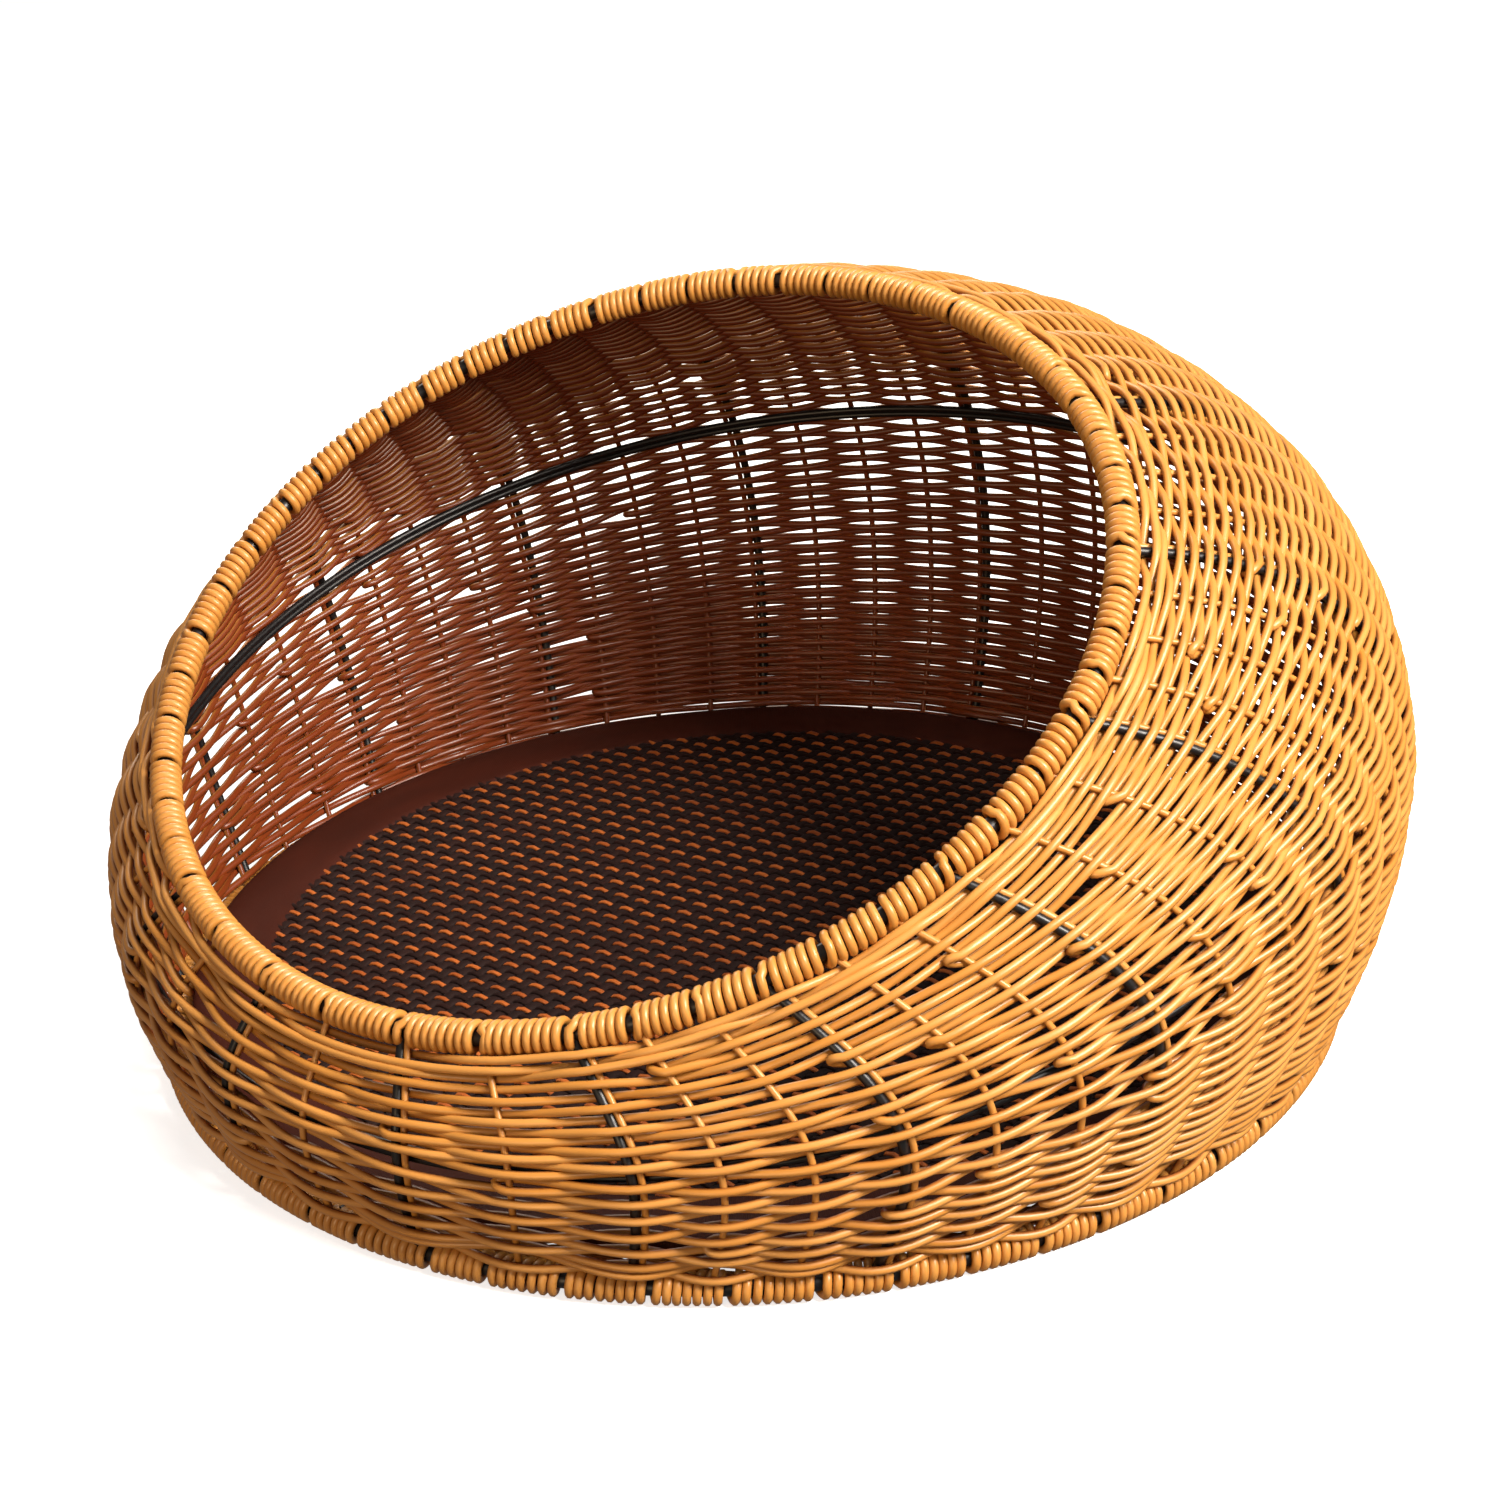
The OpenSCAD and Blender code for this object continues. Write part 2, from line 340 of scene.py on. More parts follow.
def lay_rows(length, turned):
    """Rows for a band of the wall. Whole rows go all round; short pairs fill the taller back and turn back at
    their ends. Returns the rows, each with its ends and the uprights it passes, and the height of each row at
    each upright as a share of the band."""
    wanted = length / pitch_at(STAKE_ANGLES)
    whole = int(round(wanted.min()))
    pairs = int(round((wanted.max() - whole) / 2))
    order = [(draw.random() * 0.2 / whole + (k + 0.5) / whole, "whole", k) for k in range(whole)]
    order += [((0.37 + k * GOLDEN) % 1.0, "pair", k) for k in range(pairs)]
    rows = []
    for _, kind, k in sorted(order):
        if kind == "whole":
            rows.append((None, np.ones(STAKES, bool)))
            continue
        inside = (wanted - whole) / 2 >= k + 0.5
        spots = np.flatnonzero(np.roll(inside, STAKES // 2 - turned)) - STAKES // 2 + turned
        first = spots.min() + draw.integers(-2, 3)
        last = spots.max() + draw.integers(-2, 3)
        if last - first < 2 or last - first > STAKES - 4:
            first, last = turned - 3 + draw.integers(0, 2), turned + 3
        here = np.zeros(STAKES, bool)
        here[np.arange(first, last + 1) % STAKES] = True
        rows += [((first, last), here)] * 2
    present = np.array([r[1] for r in rows])
    share = np.full(present.shape, np.nan)
    for j in range(STAKES):
        spots = np.flatnonzero(present[:, j])
        share[spots, j] = (np.arange(len(spots)) + 0.5) / len(spots)
    for _ in range(SMOOTHING_ROUNDS):
        level = share.copy()
        for step in (-1, 1):
            beside = np.roll(share, step, 1)
            level += np.where(np.isnan(beside), share, beside)
        level /= 3
        for j in range(STAKES):
            spots = np.flatnonzero(present[:, j])
            column = share[spots, j]
            longer = np.concatenate([[-column[0]], column, [2 - column[-1]]])
            share[spots, j] = 0.6 * (longer[:-2] + longer[2:]) / 2 + 0.4 * level[spots, j]
    return rows, share


def weave_band(name, low, high, parity, looser_front, looser_back):
    """One band of randing: each strand goes in front of one upright and behind the next."""
    strands = Strands(name)
    length = high - low
    rows, share = lay_rows(length, turned=STAKES // 2 - 2)
    reach = STRAND + HALF_UPRIGHT - PRESS
    number = np.arange(STAKES)
    done = set()
    for i, (ends, here) in enumerate(rows):
        if i in done:
            continue

        def knots(row, spots):
            spread = share[row, spots % STAKES]
            front = frontness(STAKE_ANGLES[spots % STAKES])
            looser = looser_back + (looser_front - looser_back) * front
            spread = spread + looser * (spread**2 - spread)
            run = low[spots % STAKES] + length[spots % STAKES] * spread
            run = run + draw.normal(0, ROW_WANDER, len(spots))
            side = np.where((row + spots + parity) % 2 == 0, 1.0, -1.0)
            return run, side * reach[spots % STAKES] * (1 + draw.normal(0, DEPTH_WANDER, len(spots)))

        if ends is None:
            run, depth = knots(i, number)
            angle = smooth_angle(number, True)
            line, out = on_wall(smooth_through(run, PER_STAKE, True), angle,
                                swing_through(depth, PER_STAKE, True))
            strands.add(line, out, STRAND, closed=True, two_faced=True)
            continue
        done.add(i + 1)
        spots = np.arange(ends[0], ends[1] + 1)
        low_run, low_depth = knots(i, spots)
        top_run, top_depth = knots(i + 1, spots)
        angle = smooth_angle(spots, False)
        bits = [(smooth_through(low_run, PER_STAKE, False), angle,
                 swing_through(low_depth, PER_STAKE, False)),
                turn_back(spots[-1], 1, low_run[-1], top_run[-1], low_depth[-1], top_depth[-1]),
                (smooth_through(top_run, PER_STAKE, False)[::-1], angle[::-1],
                 swing_through(top_depth, PER_STAKE, False)[::-1]),
                turn_back(spots[0], -1, top_run[0], low_run[0], top_depth[0], low_depth[0])]
        run, angle, depth = (np.concatenate([b[part] for b in bits]) for part in range(3))
        line, out = on_wall(run, angle, depth)
        strands.add(line, out, STRAND, closed=True, two_faced=True)
    return strands, len(rows)


def angle_of(place):
    """The angle of a place counted in uprights, from the first rib and on over any number of laps."""
    lap = np.floor(place / STAKES)
    return lap * TURN + np.interp(place - lap * STAKES, np.arange(STAKES + 1),
                                  np.append(STAKE_ANGLES, STAKE_ANGLES[0] + TURN))


def smooth_angle(spots, closed):
    """Angles along a row that passes these uprights."""
    steps = PER_STAKE
    count = len(spots) * steps if closed else (len(spots) - 1) * steps + 1
    return angle_of(spots[0] + np.arange(count) / steps)


def turn_back(spot, way, run0, run1, depth0, depth1):
    """A strand's end: it wraps round the last upright and comes back as the next row."""
    t = np.linspace(0, math.pi, 9)[1:-1]
    mix = (1 - np.cos(t)) / 2
    angle = angle_of(spot) + way * math.radians(1.2) * np.sin(t)
    return run0 + (run1 - run0) * mix, angle, depth0 + (depth1 - depth0) * mix


def wale(strands, run, over, shift):
    """A long strand beside a rim, that goes in front of several uprights and behind one."""
    number = np.arange(STAKES)
    behind = (number + shift) % (over + 1) == 0
    depth = np.where(behind, -1.0, 1.0) * (STRAND + HALF_UPRIGHT)
    run = run + draw.normal(0, 0.25, STAKES)
    line, out = on_wall(smooth_through(run, PER_STAKE, True), smooth_angle(number, True),
                        swing_through(depth, PER_STAKE, True))
    strands.add(line, out, STRAND, closed=True, two_faced=True)


def make_wall(wicker):
    length = around(WALL_LENGTH, STAKE_ANGLES)
    hoop = around(HOOP_RUN, STAKE_ANGLES)
    foot = np.full(STAKES, FOOT)
    lower, count = weave_band("weave_below_hoop", foot, hoop, 0, 0.12, 0.18)
    upper, _ = weave_band("weave_above_hoop", hoop + HOOP_SLIT, length - LIP, count, 0.25, 0.0)
    for k in range(RIM_ROWS):
        wale(upper, length - RIM_ROWS_FROM - RIM_ROWS_PITCH * k, 2, k)
    for k in range(FOOT_ROWS):
        wale(lower, FOOT_ROWS_FROM + FOOT_ROWS_PITCH * k + np.zeros(STAKES), 1, k)
    below, above = lower.build(wicker), upper.build(wicker)
    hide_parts("woven_wall")
    return below, above


def make_stakes(wicker):
    """Upright wicker stakes from rim to rim: the ones between the ribs, and one close beside each rib."""
    stakes = Strands("wicker_stakes")
    share = np.linspace(0.004, 0.996, 40)
    for place, is_rib in zip(STAKE_ANGLES, IS_RIB):
        angle = np.full(len(share), place + (BESIDE_RIB if is_rib else 0.0))
        line, out = on_wall(share * around(WALL_LENGTH, angle), angle, np.zeros(len(share)))
        stakes.add(line, out, STAKE, two_faced=True)
    return stakes.build(wicker)


# ---------------------------------------------------------------- the wire frame


def make_ribs(enamel):
    ribs = Strands("rib_wires", 12)
    climb = np.linspace(0, 1, 49)
    for j in np.flatnonzero(IS_RIB):
        angle = np.full(49, STAKE_ANGLES[j])
        outward, _ = wall_axes(climb, angle)
        ribs.add(wall_point(climb, angle), outward, WIRE)
    piece = ribs.build(enamel)
    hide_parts(*[f"rib_{k:02d}" for k in range(1, len(BETWEEN) + 1)])
    return piece


def ring_line(climb, outward_by, up_by, count=288):
    angle = TURN * np.arange(count) / count
    at = np.full(count, climb)
    outward, upward = wall_axes(at, angle)
    return wall_point(at, angle) + outward_by * outward + up_by * upward, outward


def make_hoop(enamel):
    """The double hoop runs inside the ribs and lies against the weave."""
    hoop = Strands("hoop_wires", 12)
    for side in (-1, 1):
        line, out = ring_line(HOOP_AT, -HOOP_IN, side * HOOP_WIRE)
        hoop.add(line, out, HOOP_WIRE * 0.97, closed=True)
    piece = hoop.build(enamel)
    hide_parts("hoop_upper_wire", "hoop_lower_wire")
    return piece


def make_mouth_wire(enamel):
    wire = Strands("mouth_rim_wire", 16)
    line, out = ring_line(1.0, 0, 0)
    wire.add(line, out, RIM_WIRE, closed=True)
    piece = wire.build(enamel)
    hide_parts("mouth_ring")
    return piece


# ---------------------------------------------------------------- whipping round the rims

PER_COIL = 18           # points in each coil
RIM_POINTS = 3600       # points at which a rim is measured
SKIP_FROM = 0.42        # the share of a coil at which the strand starts to skip ahead
SKIP_SPAN = 0.5         # and the share of a coil that the skip takes
FIRST_TURN = math.pi * 0.15         # where on the wire the first coil starts
MOUTH_PITCH = 3.42      # coil spacing round the mouth
BASE_PITCH = 3.45       # and round the base
GAP_AT_RIB, GAP_AT_STAKE = 2.8, 1.5
BASE_STOPS = 54         # gaps in the whipping of the base
BASE_GAP = 2.2
GAP_SPREAD = 0.15       # how unequal the gaps are


def whip(name, climb, stops, jumps, pitch, lowest=None):
    """A strand wound round a rim wire coil by coil. At each stop it skips ahead and leaves a gap."""
    fine = np.arange(RIM_POINTS) * TURN / RIM_POINTS
    ring = wall_point(np.full(RIM_POINTS, climb), fine)
    run = np.concatenate([[0], np.cumsum(np.linalg.norm(np.roll(ring, -1, 0) - ring, axis=1))])
    fine = np.append(fine, TURN)
    marks = np.interp(stops, fine, run)
    place, reach = [], []
    for here, there, jump in zip(marks, np.append(marks[1:], marks[0] + run[-1]), jumps):
        count = int(round((there - here - jump) / pitch))
        steps = (there - here - jump) / count * (1 + draw.normal(0, 0.05, count))
        steps *= (there - here - jump) / steps.sum()
        starts = here + jump + np.concatenate([[0], np.cumsum(steps)[:-1]])
        t = np.arange(PER_COIL) / PER_COIL
        for start, step in zip(starts[:-1], steps[:-1]):
            place.append(start + step * t)
        skip = np.clip((t - SKIP_FROM) / SKIP_SPAN, 0, 1)
        skip = skip * skip * (3 - 2 * skip)
        place.append(starts[-1] + steps[-1] * t + jump * skip)
        reach += [1 + draw.normal(0, 0.012)] * count
    place = np.concatenate(place)
    angle = np.interp(place % run[-1], run, fine)
    turn = TURN * np.arange(len(place)) / PER_COIL + FIRST_TURN
    out, up = wall_axes(np.full(len(place), climb), angle)
    around_wire = np.cos(turn)[:, None] * out + np.sin(turn)[:, None] * up
    swell = np.interp(np.arange(len(place)) / PER_COIL, np.arange(len(reach)), reach)
    line = wall_point(np.full(len(place), climb), angle) + (COIL * swell)[:, None] * around_wire
    if lowest is not None:
        line[:, 2] = np.maximum(line[:, 2], lowest)
    strand = Strands(name, 8)
    onward = unit(np.cross(up, out))
    strand.add(line, onward, WHIP_STRAND, tone=0.5, closed=True)
    return strand


def make_whipping(wicker):
    gaps = np.where(IS_RIB, GAP_AT_RIB, GAP_AT_STAKE) * (1 + draw.normal(0, GAP_SPREAD, STAKES))
    mouth = whip("mouth_whipping_strand", 1.0, STAKE_ANGLES, gaps, MOUTH_PITCH).build(wicker)
    stops = TURN * (np.arange(BASE_STOPS) + draw.normal(0.5, 0.06, BASE_STOPS)) / BASE_STOPS
    gaps = BASE_GAP * (1 + draw.normal(0, GAP_SPREAD, BASE_STOPS))
    base = whip("base_whipping_strand", 0.0, stops, gaps, BASE_PITCH, lowest=WHIP_STRAND + 0.02).build(wicker)
    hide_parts("mouth_whipping")
    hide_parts("base_whipping")
    return mouth, base


# ---------------------------------------------------------------- the woven floor


FLOOR_STAKES = ((12, 5.0, 0.0), (12, 46.0, 0.5), (24, 104.0, 0.5))    # how many, from what radius, and turned
FLOOR_PITCH = 3.35      # from ring to ring
FLOOR_SWING = 2.75      # how far a ring swings over and under the stakes


def make_floor(wicker):
    """Rings of randing over radial stakes, hidden by the mat but seen from below."""
    low, high = box_mm("woven_floor")
    middle = (low[2] + high[2]) / 2
    outer = (high[0] - low[0]) / 2
    centre = np.array([BASE_CENTRE[0], BASE_CENTRE[1], middle])
    strands = Strands("floor_weave", 6)
    spokes = Strands("floor_stakes", 6)
    for count, start, shift in FLOOR_STAKES:
        for k in range(count):
            turn = TURN * (k + shift) / count
            ray = np.array([math.sin(turn), -math.cos(turn), 0])
            reach = np.linspace(start, outer + 2, 12)
            spokes.add(centre + reach[:, None] * ray, np.array([0, 0, 1.0]), STAKE)
    radius, row = 8.0, 0
    while radius < outer:
        count = 12 if radius < 48 else 24 if radius < 106 else 48
        steps = 6 if count < 48 else 4
        turn = TURN * np.arange(count * steps) / (count * steps)
        side = np.cos(turn * count / 2 + math.pi * (row % 2))
        ring = centre + np.stack([radius * np.sin(turn), -radius * np.cos(turn), FLOOR_SWING * side], 1)
        strands.add(ring, np.array([0, 0, 1.0]), STRAND, closed=True)
        radius += FLOOR_PITCH
        row += 1
    weave, stakes = strands.build(wicker), spokes.build(wicker)
    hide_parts("woven_floor")
    return weave, stakes


# ---------------------------------------------------------------- the mat

MAT_WARP = 5.35         # from one dark strip to the next
MAT_ROW = 8.75          # from one tan row to the next
MAT_TURN = math.radians(4.3)
MAT_LEAN = -0.16        # how far each row is shifted against the last, in strips
TAPE_WIDTH = 29         # of the bound edge, seen from above
BACKING_UNDER = 20      # how far the backing runs under it
WEAVE_UNDER = 12        # and the weave


def make_mat(cloth, tan, dark, tape):
    low, high = box_mm("mat_panel")
    edge_low, edge_high = box_mm("mat_binding")
    centre = (edge_low + edge_high) / 2
    outer = (edge_high[0] - edge_low[0]) / 2
    inner = outer - TAPE_WIDTH
    sheet = disc("mat_backing", centre, inner + BACKING_UNDER, low[2] + 0.3, high[2] - 1.7, cloth)
    top = high[2] - 0.9
    woven = inner + WEAVE_UNDER
    weave = [mat_strands("mat_tan_rows", centre, woven, top, 0.0, tan),
             mat_strands("mat_dark_rows", centre, woven, top, 0.5, dark),
             mat_strips("mat_dark_strips", centre, woven, top, dark)]
    edge = binding("mat_bound_edge", centre, inner, outer, edge_low[2], edge_high[2], tape)
    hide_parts("mat_panel")
    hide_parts("mat_binding")
    return sheet, weave, edge, outer


def disc(name, centre, radius, bottom, top, material):
    """A thin round cloth, closed at its rim."""
    rings, sides = 16, 96
    turn = TURN * np.arange(sides) / sides
    reach = radius * np.linspace(0, 1, rings + 1)[1:]
    flat = np.stack([np.outer(reach, np.sin(turn)), -np.outer(reach, np.cos(turn))], -1).reshape(-1, 2)
    wave = 0.12 * np.sin(flat[:, 0] / 31) * np.cos(flat[:, 1] / 27)
    points, faces, fans = [], [], []
    i, k = (x.ravel() for x in np.meshgrid(np.arange(rings - 1), np.arange(sides), indexing="ij"))
    m = (k + 1) % sides
    for level, flip in ((top, False), (bottom, True)):
        start = sum(len(p) for p in points)
        points.append(np.vstack([np.column_stack([flat, level + wave]), [[0, 0, level]]]))
        quad = start + np.stack([i * sides + k, (i + 1) * sides + k, (i + 1) * sides + m, i * sides + m], 1)
        round_rim = np.arange(sides)
        fan = start + np.stack([np.full(sides, rings * sides), round_rim, (round_rim + 1) % sides], 1)
        faces.append(quad[:, ::-1] if flip else quad)
        fans.append(fan[:, ::-1] if flip else fan)
    k = np.arange(sides)
    m = (k + 1) % sides
    edge = (rings - 1) * sides
    below = rings * sides + 1 + edge
    faces.append(np.stack([edge + k, below + k, below + m, edge + m], 1))
    points = (np.vstack(points) + [centre[0], centre[1], 0]) * MM
    return show(mesh_of(name, points, [np.vstack(faces), np.vstack(fans)]), material)


def mat_axes():
    rows = np.array([math.cos(MAT_TURN), math.sin(MAT_TURN), 0])
    strips = np.array([-rows[1], rows[0], 0]) + 2 * MAT_LEAN * MAT_WARP / MAT_ROW * -rows
    return rows, strips


def mat_strands(name, centre, radius, top, shift, material):
    """The mat's rows: tan cord goes over one strip and under the next, and dark cord the other way."""
    strands = Strands(name, 5)
    rows, strips = mat_axes()
    count = int(radius / MAT_ROW) + 1
    for k in range(-count, count + 1):
        place = k + shift
        foot = strips * place * MAT_ROW
        off = (foot * [rows[1], -rows[0], 0]).sum()
        if abs(off) > radius - 6:
            continue
        half = math.sqrt(radius**2 - off**2)
        drift = (foot * rows).sum()
        along = np.arange(-half, half, MAT_WARP / 2)
        strip = (along - drift) / MAT_WARP
        lift = np.cos(math.pi * strip) * (1 if shift == 0 else -1)
        line = centre + foot + (along - drift)[:, None] * rows
        line[:, 2] = top - 0.5 + 0.7 * lift
        strands.add(line, np.array([0, 0, 1.0]), 1.15 if shift == 0 else 1.3, flat=0.6)
    return strands.build(material)


def mat_strips(name, centre, radius, top, material):
    strands = Strands(name, 6)
    rows, strips = mat_axes()
    along = unit(strips)
    stretch = np.linalg.norm(strips)
    count = int(radius / MAT_WARP) + 2
    for k in range(-count, count + 1):
        foot = rows * k * MAT_WARP
        near = (foot * along).sum()
        off2 = (foot**2).sum() - near**2
        if off2 > (radius - 6) ** 2:
            continue
        half = math.sqrt(radius**2 - off2)
        run = np.arange(-half - near, half - near, MAT_ROW / 4)
        lift = np.cos(TURN * run / (MAT_ROW * stretch)) * (-1 if k % 2 == 0 else 1)
        line = centre + foot + run[:, None] * along
        line[:, 2] = top - 0.6 + 0.5 * lift
        strands.add(line, np.array([0, 0, 1.0]), 2.35, flat=0.3)
    return strands.build(material)


def binding(name, centre, inner, outer, bottom, top, material):
    """A tape folded over the mat's rim: crowned, a little uneven, and pulled in along its inner edge."""
    sides = 288
    turn = TURN * np.arange(sides) / sides
    middle, half = (inner + outer) / 2, (outer - inner) / 2
    level, rise = (bottom + top) / 2, (top - bottom) / 2
    section = []
    for t in np.linspace(0, TURN, 28, endpoint=False):
        x, y = math.cos(t), math.sin(t)
        square = (abs(x) ** 3.2 + abs(y) ** 3.2) ** (-1 / 3.2)
        section.append((x * square, y * square))
    section = np.array(section)
    slope = np.where(section[:, 1] > 0, 1 - 0.28 * (0.5 - 0.5 * section[:, 0]), 1.0)
    drift = draw.normal(0, 1, 8)
    uneven = sum(a * np.sin((3 + 2 * n) * turn + 1.7 * n) for n, a in enumerate(drift)) * 0.12
    reach = middle + np.outer(1 + 0 * turn, section[:, 0] * half)
    reach[:, section[:, 0] < -0.5] += uneven[:, None] * 0.9
    height = level + rise * np.outer(1 + 0.02 * uneven, section[:, 1] * slope)
    points = np.stack([reach * np.sin(turn)[:, None], -reach * np.cos(turn)[:, None], height], -1)
    points = points.reshape(-1, 3)
    n = len(section)
    i, k = (x.ravel() for x in np.meshgrid(np.arange(sides), np.arange(n), indexing="ij"))
    j, m = (i + 1) % sides, (k + 1) % n
    quads = np.stack([i * n + k, i * n + m, j * n + m, j * n + k], 1)
    width = 2 * (outer - inner) / n
    uv = np.stack([np.stack([i * TURN * outer / sides, k * width], 1),
                   np.stack([i * TURN * outer / sides, (k + 1) * width], 1),
                   np.stack([(i + 1) * TURN * outer / sides, (k + 1) * width], 1),
                   np.stack([(i + 1) * TURN * outer / sides, k * width], 1)], 1)
    points = (points + [centre[0], centre[1], 0]) * MM
    return show(mesh_of(name, points, [quads], uv.reshape(-1, 2)), material)


# ---------------------------------------------------------------- materials


def shade(hex_code):
    """An sRGB colour such as D69A40 as the linear colour that a shader takes."""
    parts = [int(hex_code[k:k + 2], 16) / 255 for k in (0, 2, 4)]
    return [p / 12.92 if p <= 0.04045 else ((p + 0.055) / 1.055) ** 2.4 for p in parts] + [1.0]


def add_node(tree, kind, settings=None, links=None):
    """Adds one node: settings fill its sockets or properties, and links join sockets to others' outputs."""
    node = tree.nodes.new(kind)
    for key, value in (settings or {}).items():
        if isinstance(key, int) or key in node.inputs:
            node.inputs[key].default_value = value
        else:
            setattr(node, key, value)
    for key, output in (links or {}).items():
        tree.links.new(output, node.inputs[key])
    return node


def new_material(name):
    material = bpy.data.materials.new(name)
    material.use_nodes = True
    tree = material.node_tree
    tree.nodes.clear()
    surface = tree.nodes.new("ShaderNodeBsdfPrincipled")
    output = tree.nodes.new("ShaderNodeOutputMaterial")
    tree.links.new(surface.outputs["BSDF"], output.inputs["Surface"])
    return material, tree, surface


def extruded_wicker():
    """Polyethylene wicker, extruded as a round cord: honey gold and glossy, with fine die lines along it. The
    eye gets a soft bright line on each strand, small shifts of tone between strands, and faint streaks. A
    deeper red on the face that looks into the nest is painted shade."""
    material, tree, surface = new_material("extruded_polyethylene_wicker")
    place = add_node(tree, "ShaderNodeUVMap", {"uv_map": "strand_mm"})
    tone = add_node(tree, "ShaderNodeAttribute", {"attribute_name": "tone"})
    # Tone drifts over some 40 mm of strand, as the melt does.
    long = add_node(tree, "ShaderNodeMapping", {"Scale": (0.05, 0.025, 1)}, {"Vector": place.outputs["UV"]})
    drift = add_node(tree, "ShaderNodeTexNoise", {"Scale": 1.0, "Detail": 2.0},
                     {"Vector": long.outputs["Vector"]})
    # Die lines lie 0.4 mm apart round the strand and run for many millimetres.
    lines = add_node(tree, "ShaderNodeMapping", {"Scale": (2.5, 0.03, 1)}, {"Vector": place.outputs["UV"]})
    streak = add_node(tree, "ShaderNodeTexNoise", {"Scale": 1.0, "Detail": 1.0},
                      {"Vector": lines.outputs["Vector"]})
    both = add_node(tree, "ShaderNodeMath", {"operation": "MULTIPLY_ADD", 1: 0.55},
                    {0: tone.outputs["Fac"], 2: drift.outputs["Fac"]})
    spread = add_node(tree, "ShaderNodeMapRange", {"From Min": 0.35, "From Max": 1.05},
                      {"Value": both.outputs[0]})
    base = add_node(tree, "ShaderNodeMix", {"data_type": "RGBA", 6: shade("BE7C2E"), 7: shade("D29349")},
                    {0: spread.outputs["Result"]})
    fleck = add_node(tree, "ShaderNodeMapRange", {"From Min": 0.35, "From Max": 0.7, "To Max": 0.16},
                     {"Value": streak.outputs["Fac"]})
    colour = add_node(tree, "ShaderNodeMix", {"data_type": "RGBA", 7: shade("A66A26")},
                      {0: fleck.outputs["Result"], 6: base.outputs[2]})
    # Painted shade: a deeper, redder tint on the face that looks into the nest deepens the look of the
    # inside, in place of the shade that falls there. The strand itself isn't known to be of two colours.
    inner = add_node(tree, "ShaderNodeAttribute", {"attribute_name": "inner_shade_mask"})
    depth = add_node(tree, "ShaderNodeMapRange", {"From Min": 0.25, "From Max": 0.8, "To Max": 0.9},
                     {"Value": inner.outputs["Fac"]})
    # 6A1904 is the painted red-brown shade of the inside.
    colour = add_node(tree, "ShaderNodeMix", {"data_type": "RGBA", 7: shade("6A1904")},
                      {0: depth.outputs["Result"], 6: colour.outputs[2]})
    rough = add_node(tree, "ShaderNodeMapRange", {"To Min": 0.3, "To Max": 0.44},
                     {"Value": streak.outputs["Fac"]})
    bump = add_node(tree, "ShaderNodeBump", {"Strength": 0.25, "Distance": 0.0001},
                    {"Height": streak.outputs["Fac"]})
    surface.inputs["IOR"].default_value = 1.51
    surface.inputs["Specular IOR Level"].default_value = 0.6
    tree.links.new(colour.outputs[2], surface.inputs["Base Color"])
    tree.links.new(rough.outputs["Result"], surface.inputs["Roughness"])
    tree.links.new(bump.outputs["Normal"], surface.inputs["Normal"])
    return material


def enamelled_wire():
    """Steel wire under black baked enamel: near black, with a soft sheen and a faint orange-peel."""
    material, tree, surface = new_material("black_enamelled_steel_wire")
    place = add_node(tree, "ShaderNodeTexCoord")
    # Orange-peel bumps are about 1.5 mm across.
    peel = add_node(tree, "ShaderNodeTexNoise", {"Scale": 650.0, "Detail": 1.0},
                    {"Vector": place.outputs["Object"]})
    tint = add_node(tree, "ShaderNodeMix", {"data_type": "RGBA", 6: shade("0C0B0C"), 7: shade("1C1A1B")},
                    {0: peel.outputs["Fac"]})
    rough = add_node(tree, "ShaderNodeMapRange", {"To Min": 0.3, "To Max": 0.46},
                     {"Value": peel.outputs["Fac"]})
    bump = add_node(tree, "ShaderNodeBump", {"Strength": 0.2, "Distance": 0.0001},
                    {"Height": peel.outputs["Fac"]})
    surface.inputs["IOR"].default_value = 1.5
    tree.links.new(tint.outputs[2], surface.inputs["Base Color"])
    tree.links.new(rough.outputs["Result"], surface.inputs["Roughness"])
    tree.links.new(bump.outputs["Normal"], surface.inputs["Normal"])
    return material


def mat_cord(name, dark, light, rough_low, rough_high):
    """Twisted plastic cord of the mat: a satin thread with a fine lay that catches light at an angle."""
    material, tree, surface = new_material(name)
    place = add_node(tree, "ShaderNodeUVMap", {"uv_map": "strand_mm"})
    tone = add_node(tree, "ShaderNodeAttribute", {"attribute_name": "tone"})
    # The lay of the twist repeats about every 0.45 mm.
    lay = add_node(tree, "ShaderNodeMapping", {"Rotation": (0, 0, 0.6), "Scale": (0.7, 0.7, 1)},
                   {"Vector": place.outputs["UV"]})
    twist = add_node(tree, "ShaderNodeTexWave", {"Scale": 1.0, "Distortion": 1.5, "Detail": 1.0},
                     {"Vector": lay.outputs["Vector"]})
    blend = add_node(tree, "ShaderNodeMath", {"operation": "MULTIPLY_ADD", 1: 0.5},
                     {0: twist.outputs["Fac"], 2: tone.outputs["Fac"]})
    spread = add_node(tree, "ShaderNodeMapRange", {"From Max": 1.5}, {"Value": blend.outputs[0]})
    colour = add_node(tree, "ShaderNodeMix", {"data_type": "RGBA", 6: shade(dark), 7: shade(light)},
                      {0: spread.outputs["Result"]})
    rough = add_node(tree, "ShaderNodeMapRange", {"To Min": rough_low, "To Max": rough_high},
                     {"Value": twist.outputs["Fac"]})
    bump = add_node(tree, "ShaderNodeBump", {"Strength": 0.4, "Distance": 0.0002},
                    {"Height": twist.outputs["Fac"]})
    surface.inputs["IOR"].default_value = 1.5
    surface.inputs["Specular IOR Level"].default_value = 0.3
    tree.links.new(colour.outputs[2], surface.inputs["Base Color"])
    tree.links.new(rough.outputs["Result"], surface.inputs["Roughness"])
    tree.links.new(bump.outputs["Normal"], surface.inputs["Normal"])
    return material


